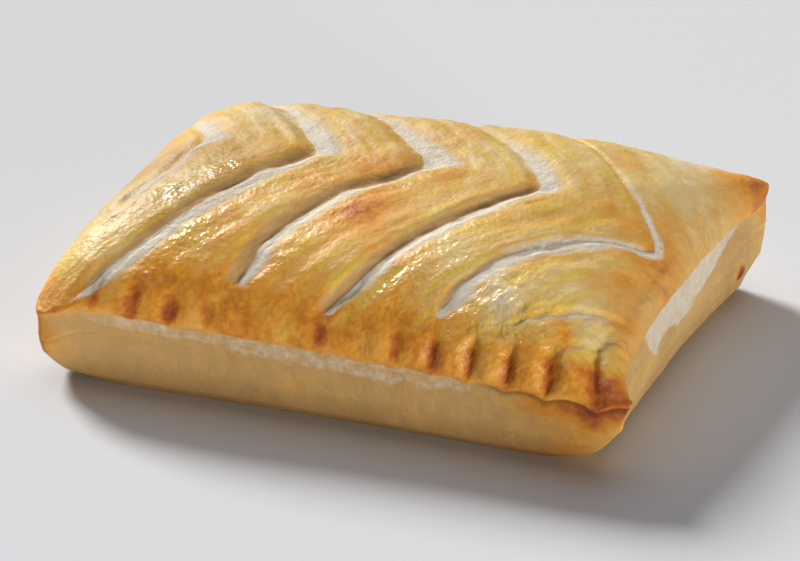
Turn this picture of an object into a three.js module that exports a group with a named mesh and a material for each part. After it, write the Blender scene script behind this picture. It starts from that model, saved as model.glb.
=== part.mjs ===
// Cheese and onion bake: an oblong parcel of puff pastry, baked shut, with chevron slashes in its lid.
// Millimetres, +Z up. The bake stands on z = 0, +X runs along its length, the way the chevrons point,
// and -Y is the front, where the lid is crimped to the base. It is uncut, so it is one solid.
import * as THREE from 'three';

const { clamp, lerp, smoothstep } = THREE.MathUtils;

// Plan of the rim, where the lid overhangs the base
const HALF_LENGTH = 70;
const HALF_WIDTH = 54;
const CORNER_POWER_LEFT = 17; // powers of the superellipses that round the rim's corners
const CORNER_POWER_RIGHT = 21;
const SIDE_BOW = 1.9; // how far the middle of each side is drawn in
const END_LEAN = 2.5; // how far the right end leans outwards at the back
const EAR_REACH = 4.4; // how far the back right corner is drawn out
const LOBE_REACH = 13; // how far the lid's front right corner hangs out past the base, before it is rounded
const LOBE_POWER = 10; // a higher power keeps the lobe closer to that corner

// Heights of the rim and the crown
const RIM_HEIGHT = 20.2;
const RIM_TILT = 0.4; // the rim is higher along the back
const RIM_TWIST = 1.9; // and lifts at two opposite corners
const END_ARCH = 2.6; // lift of the lid's edge in the middle of the right end
const CROWN_HEIGHT = 42.8;
const CROWN_TILT = 0.9; // the crown is higher towards the right
const EAR_PUFF = 5; // fullness of the lid by the back right corner
const EAR_POWER = 4; // a higher power keeps it closer to that corner
const EAR_EDGE = 50; // a higher power lets it end closer to the rim

// Soft round rises, each with its middle, radius and height: the front corners droop, and the lid is puffed
// up or sunk in places
const DROOPS = [
  { x: -68.5, y: -53, radius: 8, height: -5.5 },
  { x: 68, y: -54, radius: 7, height: -1.5 },
];
const PUFFS = [
  { x: -29, y: -1, radius: 5, height: 0.8 },
  { x: -2, y: 1, radius: 5, height: 0.6 },
  { x: 27, y: 3, radius: 5, height: 0.5 },
  { x: -30, y: -13, radius: 7, height: 1.3 },
  { x: -7, y: -16, radius: 6, height: 1.1 },
  { x: 63, y: -39, radius: 5, height: -0.4 },
];

// Fall of the lid from the crown to the rim: a higher power keeps it flat for longer
const FALL_POWER = { left: 5.6, right: 4, front: 3.1, back: 3 };
const FALL_SHAPE = 0.7;

// Chevron slashes. The apex is a place along X, and the middle is its place across. Each arm has its slope,
// which is how far it falls back for each millimetre across, its bend, which adds to that with the square of
// the way, its reach across from the apex, and the length of its open floor along X. The wall is the rolled
// edge of the strip behind the slash, by its length along X. The depth is a share of the deepest, a front
// arm deepens or shallows outwards, and the last slash only starts some way across.
const SLASHES = [
  {
    apex: -50.6,
    middle: 0,
    front: { slope: 0.28, bend: 0, reach: 31, floor: 2.6 },
    back: { slope: 0.6, bend: 0, reach: 40, floor: 8 },
    wall: 2.4,
    depth: 0.25,
    deepening: 0,
    start: 0,
  },
  {
    apex: -22,
    middle: 0,
    front: { slope: 0.55, bend: 0.004, reach: 55, floor: 5.6 },
    back: { slope: 0.75, bend: 0, reach: 46, floor: 9 },
    wall: 4.6,
    depth: 0.85,
    deepening: -0.25,
    start: 0,
  },
  {
    apex: 5.5,
    middle: 0,
    front: { slope: 1.05, bend: -0.0098, reach: 50, floor: 3.8 },
    back: { slope: 0.84, bend: 0, reach: 46, floor: 11 },
    wall: 5.6,
    depth: 0.8,
    deepening: 0.4,
    start: 0,
  },
  {
    apex: 34,
    middle: 0,
    front: { slope: 0.75, bend: 0, reach: 52, floor: 4.8 },
    back: { slope: 0.86, bend: 0, reach: 46, floor: 7 },
    wall: 4,
    depth: 0.8,
    deepening: 0.3,
    start: 0,
  },
  {
    apex: 63.1,
    middle: -2.5,
    front: { slope: 1.4, bend: -0.012, reach: 47, floor: 5.4 },
    back: { slope: 0.92, bend: 0, reach: 49, floor: 2 },
    wall: 2.6,
    depth: 0.5,
    deepening: 0.15,
    start: 0,
  },
  {
    apex: 104.5,
    middle: 0,
    front: { slope: 1.42, bend: 0, reach: 49, floor: 3 },
    back: { slope: 1.42, bend: 0, reach: 0, floor: 1.6 },
    wall: 2,
    depth: 0.3,
    deepening: 0,
    start: 27,
  },
];
const APEX_ROUND = 4;
const SLASH_DEPTH = 2;
const WALL_SHOULDER = 0.35; // how round the top of a wall is
const FLOOR_TURN = 4; // half the width over which the floor changes at the apex
// At the apex a front arm's floor is open by this share, and fully open after this share of the arm's reach
const APEX_OPEN_SHARE = 0.4;
const FRONT_CLOSING = { start: 0.86, share: 0.8 }; // where along an arm its floor closes, and how much
const BACK_CLOSING = { start: 0.25, share: 0.6 };
const FLOOR_TOP = 0.4; // share of the depth that is left where the floor meets the next strip
const STRIP_RISE_RUN = 9; // length along X in which the next strip climbs the rest
const ARM_START = 3; // half the stretch in which a slash that starts some way across opens
const ARM_FADE = 5; // the last stretch of an arm, in which it runs out
const END_FADE_START = 62; // the slashes also close towards the two ends

// Crimps pressed into the front and back of the lid, deepest where it rises so far above the rim. Towards the
// right they reach higher, are a little narrower and are pressed harder.
const CRIMP_PITCH = 9.02;
const CRIMP_FIRST = -53.7;
const CRIMP_SHARES = [0.7, 1.25, 1.15, 0.85, 0.45, 0.3, 0.6, 0.35, 0.75, 0.75, 1, 0.85, 1, 1]; // how hard
const CRIMP_HALF_WIDTH = { left: 2.3, right: 2.2 };
const CRIMP_RISE = { left: 2.8, right: 3.8 };
const CRIMP_HALF_RISE = { left: 3.8, right: 4.8 };
const CRIMP_DEPTH = 0.8;
const CRIMP_BITE = 0.35; // how far a crimp draws the rim in
const CRIMP_HARDER = { from: 26, to: 46, times: 1.3 };
const BACK_CRIMP_END = { from: 30, to: 46 }; // at the back they stop before the right corner

// The front edge swells into pleats between the crimps, more and more towards the right
const PLEATS = { from: 2, to: 38 };
const PLEAT_HEIGHT = 0.8;
const PLEAT_REACH = 0.5; // how far a pleat bulges out at the front

// The side below the lid, ring by ring. A ring hangs below the lid's edge, or below the even rim, or stands
// at a share of the rim's height. Its inset is measured in from the rim, it has its own corner power, and it
// hangs out at the lobe by a share.
const SIDE_RINGS = [
  { belowEdge: 1.2, inset: 0.25, cornerPower: 22, lobed: 1 }, // browned lip of the lid
  { belowEdge: 1.7, inset: 0.4, cornerPower: 22, lobed: 0.97 }, // top of the lid's pale cut edge
  { belowRim: 5.5, inset: 0.4, cornerPower: 22, lobed: 0.7 }, // bottom of the cut edge
  { belowRim: 6.1, inset: 0.6, cornerPower: 22, lobed: 0.62 }, // seam between lid and base
  { belowRim: 6.8, inset: 0.45, cornerPower: 21, lobed: 0.55 }, // top of the base
  { rimShare: 0.42, inset: 0.5, cornerPower: 17, lobed: 0.3 }, // belly of the base
  { rimShare: 0.14, inset: 2.1, cornerPower: 11, lobed: 0 },
  { rimShare: 0, inset: 5.1, cornerPower: 9.5, lobed: 0 }, // edge of the flat underside
];

// Fineness of the mesh: rows across the bake, and columns in each stretch between the edges of the slashes
const ROWS = 42;
const ROW_CROWDING = 1.25; // above 1, rows lie closer together towards the rims
const WALL_COLUMNS = 2;
const FLOOR_COLUMNS = 2;
const STRIP_COLUMN_WIDTH = 3; // widest column on a strip, narrow enough to show the crimps
const LEAST_COLUMN = 0.25; // narrowest column, where a slash runs off an end

// Sum of soft round rises
const swelling = (x, y, rises) =>
  rises.reduce((sum, rise) => {
    const away = (x - rise.x) ** 2 + (y - rise.y) ** 2;
    return sum + rise.height * Math.exp(-away / rise.radius ** 2);
  }, 0);

// The pastry sheet is addressed by u along X and v along Y, from -1 to 1. This draws its corners in to a
// superellipse.
function roundCorners(u, v, power) {
  const shrink = (1 + Math.abs(u * v) ** power) ** (-1 / power);
  return { across: u * shrink, along: v * shrink };
}

// Place of the sheet in plan: its sides are bowed, its right end leans, and its right corners are drawn out
function planPoint(u, v, power, lobed) {
  const { across, along } = roundCorners(u, v, power);
  const right = Math.max(across, 0);
  const ear = EAR_REACH * right ** 4 * Math.max(along, 0) ** 4;
  const lobe = lobed * LOBE_REACH * (right * Math.max(-along, 0)) ** LOBE_POWER;
  return {
    x: HALF_LENGTH * across - SIDE_BOW * across * (1 - along ** 2) + END_LEAN * right * along + ear + lobe,
    y: HALF_WIDTH * along - SIDE_BOW * along * (1 - across ** 2),
  };
}

const evenRim = (u, v) =>
  RIM_HEIGHT + RIM_TILT * v + RIM_TWIST * u * v + swelling(HALF_LENGTH * u, HALF_WIDTH * v, DROOPS);

// Height of the puffed lid before it is slashed and crimped
function smoothLid(u, v) {
  const endPower = u < 0 ? FALL_POWER.left : FALL_POWER.right;
  const sidePower = v < 0 ? FALL_POWER.front : FALL_POWER.back;
  const fall = (distance, power) => Math.max(1 - Math.abs(distance) ** power, 0) ** FALL_SHAPE;
  const right = Math.max(u, 0);
  const arch = END_ARCH * (1 - v ** 2) * right ** 6;
  const back = Math.max(v, 0);
  const corner = (right * back) ** EAR_POWER * (1 - right ** EAR_EDGE) * (1 - back ** EAR_EDGE);
  const climb = CROWN_HEIGHT + CROWN_TILT * u - RIM_HEIGHT;
  return evenRim(u, v) + arch + climb * fall(u, endPower) * fall(v, sidePower) + EAR_PUFF * corner;
}

const armOf = (slash, y) => (y < 0 ? slash.front : slash.back);

// X of the foot of a slash's wall, y across from the slash's apex
function slashFoot(slash, y) {
  const arm = armOf(slash, y);
  const way = Math.hypot(y, APEX_ROUND) - APEX_ROUND;
  return slash.apex - arm.slope * way - arm.bend * way ** 2;
}

// Length along X of the open floor: narrow at the apex of the front arm, and narrower towards both arms' ends
function floorRun(slash, y) {
  const outward = Math.abs(y) / Math.max(armOf(slash, y).reach, APEX_ROUND);
  const opened = lerp(APEX_OPEN_SHARE, 1, smoothstep(outward, 0, APEX_OPEN_SHARE));
  const closed = ({ start, share }) => 1 - share * smoothstep(outward, start, 1);
  const frontRun = slash.front.floor * opened * closed(FRONT_CLOSING);
  const backRun = slash.back.floor * closed(BACK_CLOSING);
  return lerp(frontRun, backRun, smoothstep(y, -FLOOR_TURN, FLOOR_TURN));
}

// Share of the full depth before the foot: a round shoulder, and then a straight wall
function rolledEdge(past, wall) {
  const turn = clamp(1 + past / wall, 0, 1);
  return (Math.hypot(turn, WALL_SHOULDER) - WALL_SHOULDER) / (Math.hypot(1, WALL_SHOULDER) - WALL_SHOULDER);
}

// Share of the full depth at a distance past the foot of a slash: the rolled edge comes before the foot, then
// the open floor, which climbs, and then the next strip, which climbs in a round back to the lid
function slashProfile(past, run, wall) {
  if (past < 0) {
    return rolledEdge(past, wall);
  }
  if (past < run) {
    return 1 - ((1 - FLOOR_TOP) * past) / run;
  }
  const climbed = clamp((past - run) / STRIP_RISE_RUN, 0, 1);
  return FLOOR_TOP * (1 - climbed) ** 2;
}

// Depth of a slash across the lid, as a share of the deepest
function armDepth(slash, y) {
  const { reach } = armOf(slash, y);
  const outward = clamp(-y / slash.front.reach, 0, 1);
  const opening = smoothstep(Math.abs(y), slash.start - ARM_START, slash.start + ARM_START);
  const opened = slash.start > 0 ? opening : 1;
  const runOut = 1 - smoothstep(Math.abs(y), reach - ARM_FADE, reach);
  return (slash.depth + slash.deepening * outward) * opened * runOut;
}

function slashDrop(x, y) {
  const endFade = 1 - smoothstep(Math.abs(x), END_FADE_START, HALF_LENGTH);
  const shares = SLASHES.map((slash) => {
    const across = y - slash.middle;
    const share = armDepth(slash, across) * (slash.start > 0 ? 1 : endFade);
    return share * slashProfile(x - slashFoot(slash, across), floorRun(slash, across), slash.wall);
  });
  return SLASH_DEPTH * Math.max(...shares);
}

// A crimp's size at x, between its size at the left and at the right
const sizeAt = (x, { left, right }) => lerp(left, right, smoothstep(x, PLEATS.from, PLEATS.to));

// How much of a crimp is left so far above the rim
const crimpLength = (x, rise) =>
  clamp(1 - ((rise - sizeAt(x, CRIMP_RISE)) / sizeAt(x, CRIMP_HALF_RISE)) ** 2, 0, 1);

// How far the front of the lid swells between two crimps
function pleatSwell(x, v, rise) {
  if (v > 0) {
    return 0;
  }
  const between = 0.5 - 0.5 * Math.cos((2 * Math.PI * (x - CRIMP_FIRST)) / CRIMP_PITCH);
  return between * crimpLength(x, rise) * smoothstep(x, PLEATS.from, PLEATS.to);
}

// How hard the lid is pressed in by a crimp, from how far it rises above the rim
function crimpPress(x, v, rise) {
  const presses = CRIMP_SHARES.map((share, index) => {
    const away = (x - CRIMP_FIRST - index * CRIMP_PITCH) / sizeAt(x, CRIMP_HALF_WIDTH);
    return share * Math.exp(-(away ** 2));
  });
  const kept = v > 0 ? 1 - smoothstep(x, BACK_CRIMP_END.from, BACK_CRIMP_END.to) : 1;
  const harder = lerp(1, CRIMP_HARDER.times, smoothstep(x, CRIMP_HARDER.from, CRIMP_HARDER.to));
  return Math.max(...presses) * crimpLength(x, rise) * kept * harder;
}

function lidPoint(u, v) {
  const x = HALF_LENGTH * u;
  const y = HALF_WIDTH * v;
  const power = u < 0 ? CORNER_POWER_LEFT : CORNER_POWER_RIGHT;
  const { across, along } = roundCorners(u, v, power);
  const smooth = smoothLid(across, along);
  const rise = smooth - evenRim(u, v);
  const press = crimpPress(x, v, rise);
  const pleat = pleatSwell(x, v, rise);
  const plan = planPoint(u, v, power, 1);
  const puffed = smooth + swelling(x, y, PUFFS) + PLEAT_HEIGHT * pleat;
  const reach = plan.y - Math.sign(v) * CRIMP_BITE * press - PLEAT_REACH * pleat;
  return new THREE.Vector3(plan.x, reach, puffed - slashDrop(x, y) - CRIMP_DEPTH * press);
}

const rowPosition = (row) => {
  const share = (2 * row) / ROWS - 1;
  return Math.sign(share) * (1 - (1 - Math.abs(share)) ** ROW_CROWDING);
};

// Where the stretches of one row end, in millimetres along the sheet. Each slash has three: the strip before
// it, its wall and its floor. The last stretch is the right end.
function rowEnds(y) {
  const ends = SLASHES.flatMap((slash) => {
    const across = y - slash.middle;
    const foot = slashFoot(slash, across);
    return [foot - slash.wall, foot, foot + floorRun(slash, across)];
  });
  return [...ends, HALF_LENGTH].map((end) => clamp(end, -HALF_LENGTH, HALF_LENGTH));
}

// Columns in each stretch: few on walls and floors, and on a strip enough for its widest row
function columnCounts(rows) {
  return rows[0].map((_, index) => {
    if (index % 3 === 1) {
      return WALL_COLUMNS;
    }
    if (index % 3 === 2) {
      return FLOOR_COLUMNS;
    }
    const widths = rows.map((ends) => ends[index] - (index > 0 ? ends[index - 1] : -HALF_LENGTH));
    return Math.ceil(Math.max(...widths) / STRIP_COLUMN_WIDTH);
  });
}

// The columns of one row. They follow the edges of every slash, so that the slashes stay sharp, and are
// pushed apart where a slash runs off an end.
function rowColumns(ends, counts) {
  const places = [...ends];
  let lowest = -HALF_LENGTH;
  for (let index = 0; index < places.length; index += 1) {
    lowest = Math.max(places[index], lowest + LEAST_COLUMN * counts[index]);
    places[index] = lowest;
  }
  let highest = HALF_LENGTH;
  for (let index = places.length - 1; index >= 0; index -= 1) {
    places[index] = Math.min(places[index], highest);
    highest = places[index] - LEAST_COLUMN * counts[index];
  }
  const columns = [-HALF_LENGTH];
  places.forEach((end, index) => {
    const start = columns.at(-1);
    for (let step = 1; step <= counts[index]; step += 1) {
      columns.push(lerp(start, end, step / counts[index]));
    }
  });
  return columns;
}

// Sheet positions of the lid's grid, row by row from the front
function lidSheet() {
  const positions = Array.from({ length: ROWS + 1 }, (_, row) => rowPosition(row));
  const rows = positions.map((v) => rowEnds(HALF_WIDTH * v));
  const counts = columnCounts(rows);
  return rows.map((ends, row) =>
    rowColumns(ends, counts).map((x) => ({ u: x / HALF_LENGTH, v: positions[row] })),
  );
}

// Grid indices of the rim, anticlockwise from the front left corner, seen from above
function rimLoop(columnCount) {
  const loop = [];
  const index = (column, row) => row * (columnCount + 1) + column;
  for (let column = 0; column < columnCount; column += 1) {
    loop.push(index(column, 0));
  }
  for (let row = 0; row < ROWS; row += 1) {
    loop.push(index(columnCount, row));
  }
  for (let column = columnCount; column > 0; column -= 1) {
    loop.push(index(column, ROWS));
  }
  for (let row = ROWS; row > 0; row -= 1) {
    loop.push(index(0, row));
  }
  return loop;
}

function ringPoint(ring, sheet, edge) {
  const plan = planPoint(sheet.u, sheet.v, ring.cornerPower, ring.lobed);
  const rim = evenRim(sheet.u, sheet.v);
  let height = rim * ring.rimShare;
  if (ring.belowEdge !== undefined) {
    height = edge.z - ring.belowEdge;
  } else if (ring.belowRim !== undefined) {
    height = rim - ring.belowRim;
  }
  const x = plan.x * (1 - ring.inset / HALF_LENGTH);
  const y = plan.y * (1 - ring.inset / HALF_WIDTH);
  return new THREE.Vector3(x, y, height);
}

// Two triangles on four points given in turn, split along the shorter diagonal
function addQuad(triangles, points, a, b, c, d) {
  if (points[a].distanceTo(points[c]) < points[b].distanceTo(points[d])) {
    triangles.push(a, b, c, a, c, d);
  } else {
    triangles.push(a, b, d, b, c, d);
  }
}

function bakeGeometry() {
  const rows = lidSheet();
  const columnCount = rows[0].length - 1;
  const sheet = rows.flat();
  const points = sheet.map(({ u, v }) => lidPoint(u, v));
  const triangles = [];

  for (let row = 0; row < ROWS; row += 1) {
    for (let column = 0; column < columnCount; column += 1) {
      const near = row * (columnCount + 1) + column;
      const far = near + columnCount + 1;
      addQuad(triangles, points, near, near + 1, far + 1, far);
    }
  }

  const rim = rimLoop(columnCount);
  let upper = rim;
  for (const ring of SIDE_RINGS) {
    const lower = rim.map((corner) => points.push(ringPoint(ring, sheet[corner], points[corner])) - 1);
    lower.forEach((corner, step) => {
      const next = (step + 1) % lower.length;
      addQuad(triangles, points, upper[step], corner, lower[next], upper[next]);
    });
    upper = lower;
  }

  const centre = points.push(new THREE.Vector3(0, 0, 0)) - 1;
  upper.forEach((corner, step) => triangles.push(centre, upper[(step + 1) % upper.length], corner));

  const geometry = new THREE.BufferGeometry().setFromPoints(points);
  geometry.setIndex(triangles);
  geometry.computeBoundingBox();
  const middle = geometry.boundingBox.getCenter(new THREE.Vector3());
  geometry.translate(-middle.x, -middle.y, 0);
  geometry.computeVertexNormals();
  return geometry;
}

const pastry = new THREE.MeshStandardMaterial({ color: 0xcd9a52, roughness: 0.55, metalness: 0 });
const bake = new THREE.Mesh(bakeGeometry(), pastry);
bake.name = 'pastry_bake';

const cheeseAndOnionBake = new THREE.Group();
cheeseAndOnionBake.add(bake);

export default cheeseAndOnionBake;
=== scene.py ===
"""Looks of a cheese and onion bake: the pastry's fine shape and finish, and a plain studio round it."""

import math
from collections import namedtuple

import bmesh
import bpy
import numpy as np
from bpy.props import FloatProperty, FloatVectorProperty, PointerProperty
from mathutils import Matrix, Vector, noise


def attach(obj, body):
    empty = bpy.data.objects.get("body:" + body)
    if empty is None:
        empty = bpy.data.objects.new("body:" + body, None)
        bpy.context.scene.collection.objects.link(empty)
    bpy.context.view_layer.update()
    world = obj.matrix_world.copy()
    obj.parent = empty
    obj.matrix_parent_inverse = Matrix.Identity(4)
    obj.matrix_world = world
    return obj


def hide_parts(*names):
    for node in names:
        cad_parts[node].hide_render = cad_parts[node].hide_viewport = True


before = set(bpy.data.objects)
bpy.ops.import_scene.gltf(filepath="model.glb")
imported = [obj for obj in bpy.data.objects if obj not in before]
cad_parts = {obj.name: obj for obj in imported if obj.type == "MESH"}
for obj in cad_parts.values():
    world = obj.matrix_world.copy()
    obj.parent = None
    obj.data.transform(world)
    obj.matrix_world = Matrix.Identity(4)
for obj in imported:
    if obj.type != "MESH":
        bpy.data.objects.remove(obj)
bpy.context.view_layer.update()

bl_info = {
    "name": "Cheese and onion bake",
    "version": (1, 0, 0),
    "blender": (4, 5, 0),
    "location": "3D View > Sidebar > Bake",
    "description": "Dresses the bake with flaky, egg-washed puff pastry and sets it in a plain studio",
    "category": "Add Mesh",
}

MM = 0.001
NODE = "pastry_bake"
BODY = "root"

# Plan of the rim, where the lid overhangs the base
HALF_LENGTH = 70 * MM
HALF_WIDTH = 54 * MM
CORNER_POWER_LEFT = 17
CORNER_POWER_RIGHT = 21
SIDE_BOW = 1.9 * MM
END_LEAN = 2.5 * MM
EAR_REACH = 4.4 * MM
EDGE_SAMPLES = 401
LOBE_REACH = 13 * MM
LOBE_POWER = 10

# Heights of the rim and the crown
RIM_TILT = 0.4 * MM
RIM_TWIST = 1.9 * MM
END_ARCH, END_ARCH_POWER = 2.6 * MM, 6
CROWN_TILT = 0.9 * MM
EAR_PUFF = 5 * MM
EAR_POWER = 4
EAR_EDGE = 50

# Fall of the lid from the crown to the rim
FALL_LEFT, FALL_RIGHT, FALL_FRONT, FALL_BACK = 5.6, 4, 3.1, 3
FALL_SHAPE = 0.7

# A chevron slash has its apex along X, so far across, and two arms. An arm falls back by its slope for each
# step across, and by its bend with the square of the way. It reaches so far across from the apex, and its
# open floor is so long along X. The wall is so wide, the depth is a share of the deepest, and a front arm
# deepens or shallows outward. The last slash only starts some way across. The flour in the back arm fades
# outward, and a wall may be pale.
Arm = namedtuple("Arm", "slope bend reach floor")
Slash = namedtuple(
    "Slash", "apex front back wall depth middle deepening start fading pale_wall", defaults=(0, 0, 0, 0, 0)
)
SLASHES = (
    Slash(
        apex=-50.6 * MM,
        front=Arm(0.28, 0, 31 * MM, 2.6 * MM),
        back=Arm(0.6, 0, 40 * MM, 8 * MM),
        wall=2.4 * MM,
        depth=0.25,
        fading=0.4,
    ),
    Slash(
        apex=-22 * MM,
        front=Arm(0.55, 4, 55 * MM, 5.6 * MM),
        back=Arm(0.75, 0, 46 * MM, 9 * MM),
        wall=4.6 * MM,
        depth=0.85,
        deepening=-0.25,
        fading=0.35,
    ),
    Slash(
        apex=5.5 * MM,
        front=Arm(1.05, -9.8, 50 * MM, 3.8 * MM),
        back=Arm(0.84, 0, 46 * MM, 11 * MM),
        wall=5.6 * MM,
        depth=0.8,
        deepening=0.4,
        fading=0.35,
    ),
    Slash(
        apex=34 * MM,
        front=Arm(0.75, 0, 52 * MM, 4.8 * MM),
        back=Arm(0.86, 0, 46 * MM, 7 * MM),
        wall=4 * MM,
        depth=0.8,
        deepening=0.3,
        fading=0.6,
    ),
    Slash(
        apex=63.1 * MM,
        middle=-2.5 * MM,
        front=Arm(1.4, -12, 47 * MM, 5.4 * MM),
        back=Arm(0.92, 0, 49 * MM, 2 * MM),
        wall=2.6 * MM,
        depth=0.5,
        deepening=0.15,
        fading=0.85,
        pale_wall=0.6,
    ),
    Slash(
        apex=104.5 * MM,
        front=Arm(1.42, 0, 49 * MM, 3 * MM),
        back=Arm(1.42, 0, 0, 1.6 * MM),
        wall=2 * MM,
        depth=0.3,
        start=27 * MM,
    ),
)
APEX_ROUND = 4 * MM
WALL_SHOULDER = 0.35
FLOOR_TURN = 4 * MM
FLOOR_TOP = 0.4
FOOT_SHARPNESS = 4
APEX_OPEN_SHARE = 0.4
Closing = namedtuple("Closing", "start share")
FRONT_CLOSING = Closing(0.86, 0.8)
BACK_CLOSING = Closing(0.25, 0.6)
STRIP_RISE_RUN = 9 * MM
BROW_START, BROW_RUN = 4 * MM, 6.5 * MM
ARM_FADE = 5 * MM
ARM_START = 3 * MM
END_FADE_START = 62 * MM
EDGE_WANDER = 0.9 * MM
EDGE_WANDER_SIZE = 9 * MM
EDGE_FRAY = 0.35 * MM
EDGE_FRAY_SIZE = 2.2 * MM
FLOOR_WANDER, FLOOR_FRAY, FLOOR_SEED = 0.25, 0.16, 10
CHEVRON_SLOPE = 0.78

# Crimps pressed into the front and back of the lid, in the part that rises so far above the rim. Each is
# pressed as hard as its share says, and those at the right end are pressed harder.
CRIMP_PITCH = 9.02 * MM
CRIMP_FIRST = -53.7 * MM
CRIMP_SHARES = (0.7, 1.25, 1.15, 0.85, 0.45, 0.3, 0.6, 0.35, 0.75, 0.75, 1, 0.85, 1, 1)
CRIMP_HALF_WIDTH, CRIMP_HALF_WIDTH_RIGHT = 1.9 * MM, 1.35 * MM
CRIMP_RISE, CRIMP_RISE_RIGHT = 2.8 * MM, 3.8 * MM
CRIMP_HALF_RISE, CRIMP_HALF_RISE_RIGHT = 3.8 * MM, 4.8 * MM
CRIMP_BITE = 0.35 * MM
BACK_CRIMP_FADE, BACK_CRIMP_END = 30 * MM, 46 * MM
CRIMP_HARD_FROM, CRIMP_HARD_TO, CRIMP_HARDER = 26 * MM, 46 * MM, 2.2

# The front edge swells into pleats between the crimps, more and more towards the right
PLEAT_FROM, PLEAT_TO = 2 * MM, 38 * MM
PLEAT_HEIGHT = 1.2 * MM
PLEAT_REACH = 0.5 * MM

# Marks on the lid: browner and paler places, glossier places, floury places and puffed and sunk places, which
# the oven and the brush left, and a few painted sheens and highlights laid on in the cream of flour among the
# floury marks. Each has a middle, a radius and an amount.
Mark = namedtuple("Mark", "x y radius amount")


def mark(x, y, radius, amount):
    """A mark whose middle and radius are in millimetres"""
    return Mark(x * MM, y * MM, radius * MM, amount)


BROWNING = (
    mark(-62, -35, 12, -0.3),
    mark(-50, -20, 10, -0.25),
    mark(-38, 20, 12, -0.2),
    mark(2, -25, 10, 0.34),
    mark(-3, -5, 8, 0.3),
    mark(-54, -43, 10, -0.25),
    mark(38, 12, 8, -0.15),
    mark(28, -33, 8, -0.22),
    mark(25, 15, 10, -0.2),
    mark(40, -41, 5.5, -0.25),
    mark(52, -30, 9, -0.15),
    mark(62, -39, 6, -0.5),
    mark(68, -6, 7, 0.2),
    mark(71, 47, 6.5, 0.5),
    mark(62, 25, 9, -0.3),
    mark(66, -30, 9, 0.12),
    mark(-25, -1, 4, 0.15),
    mark(3, 2, 4, 0.15),
    mark(57, 0, 6, 0.22),
    mark(68, -54, 6, 0.2),
    mark(57, -44.3, 2.6, 0.4),
    mark(-66, -52, 8, 0.12),
)
GLOSS = (
    mark(-33.6, -17, 6.5, 1),
    mark(-10.7, -19.6, 4.5, 0.7),
    mark(2, -25, 9, -0.3),
    mark(-58, -38, 9, 0.2),
    mark(-46, -27, 4, 0.6),
    mark(-35, -41, 8, 0.5),
    mark(39, -42, 7, 0.6),
    mark(27, -38, 7, 0.4),
    mark(12, -46, 8, 0.3),
    mark(30, -46, 9, 0.4),
    mark(46, -44, 9, 0.4),
    mark(50, -45.5, 4, 0.3),
    mark(56, -46, 7, 0.3),
)
# Flour, and in some places a painted sheen or highlight in the cream of flour: on the crown's left, on a
# tongue near it and along the front right
DUSTING_AND_SHEEN = (
    mark(-38, 20, 11, 0.42),
    mark(62, 25, 10, 0.22),
    mark(47, -19, 5, 0.35),
    mark(62, -39, 6, 0.28),
    mark(40, -41, 5, 0.3),
    mark(33, 10, 8, 0.28),
    mark(24, -45, 9, 0.2),
    mark(42, -44, 8, 0.2),
    mark(55, 45, 8, 0.25),
    mark(-33, -8, 5, 0.25),
)
PUFFING = (
    mark(-29, -1, 5, 0.8 * MM),
    mark(-2, 1, 5, 0.6 * MM),
    mark(27, 3, 5, 0.5 * MM),
    mark(-30, -13, 7, 1.3 * MM),
    mark(-7, -16, 6, 1.1 * MM),
    mark(53.5, -44, 3.2, 1 * MM),
    mark(49, -46.5, 3.5, 0.7 * MM),
    mark(60, -42.5, 3.5, -0.7 * MM),
    mark(63, -39, 5, -0.4 * MM),
)

# The drooping front corners
DROOPS = (
    mark(-68.5, -53, 8, -5.5 * MM),
    mark(68, -54, 7, -1.5 * MM),
)

# The side below the lid, ring by ring: what its height is measured from, how much, its inset from the rim,
# its corner power, its share of the lobe, and how many steps lead to it
Ring = namedtuple("Ring", "level amount inset corner_power lobed steps")
SIDE_RINGS = (
    Ring("edge", 0.5 * MM, 0.05 * MM, 20, 1, 2),
    Ring("edge", 1.2 * MM, 0.25 * MM, 22, 1, 2),
    Ring("edge", 1.7 * MM, 0.4 * MM, 22, 0.97, 2),
    Ring("rim", 5.5 * MM, 0.4 * MM, 22, 0.7, 6),
    Ring("rim", 6.1 * MM, 0.6 * MM, 22, 0.62, 2),
    Ring("rim", 6.8 * MM, 0.45 * MM, 21, 0.55, 2),
    Ring("share", 0.42, 0.5 * MM, 17, 0.3, 6),
    Ring("share", 0.14, 2.1 * MM, 11, 0, 5),
    Ring("share", 0.0, 5.1 * MM, 9.5, 0, 5),
)
UNDERSIDE_SHARES = (0.96, 0.85, 0.65, 0.4, 0.2)

# The cut edge that stays pale below the lid. Along the front it runs from near the left corner to where the
# lid's edge folds over it. On the right end it opens wide and closes towards both corners.
PALE_FROM = 0.8 * MM
PALE_SOFTNESS = 1 * MM
PALE_TAPER = 5 * MM
PALE_LEAST, PALE_SURE = 0.3 * MM, 1.5 * MM
PALE_WANDER, PALE_WANDER_SIZE = 0.25, 9 * MM
PALE_FRAY, PALE_FRAY_SIZE = 0.12, 3 * MM
END_FACE_FROM, END_FACE_TO = 0.97, 0.995
FRONT_HALF_FROM, FRONT_HALF_TO = 0.4, -0.4
FRONT_PALE_TO = 5 * MM
FRONT_PALE_LEFT, FRONT_PALE_RIGHT = -57 * MM, 38 * MM
END_PALE_TO = 10 * MM
END_PALE_FRONT, END_PALE_FRONT_FULL = -0.52, -0.26
END_PALE_BACK_FULL, END_PALE_BACK = 0.3, 0.8
FRONT_PALENESS, END_PALENESS = 0.35, 0.64

# A bead of filling that leaked from the right end and burnt
BEAD = (71.5 * MM, 38 * MM, 8.7 * MM)
BEAD_RADIUS = 1.8 * MM
BEAD_HEIGHT = 1.1 * MM

# A zone is where an effect starts and where it is full. Zones along the bake and across it are lengths, or
# shares of the half length and the half width.
Zone = namedtuple("Zone", "start full")

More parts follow.
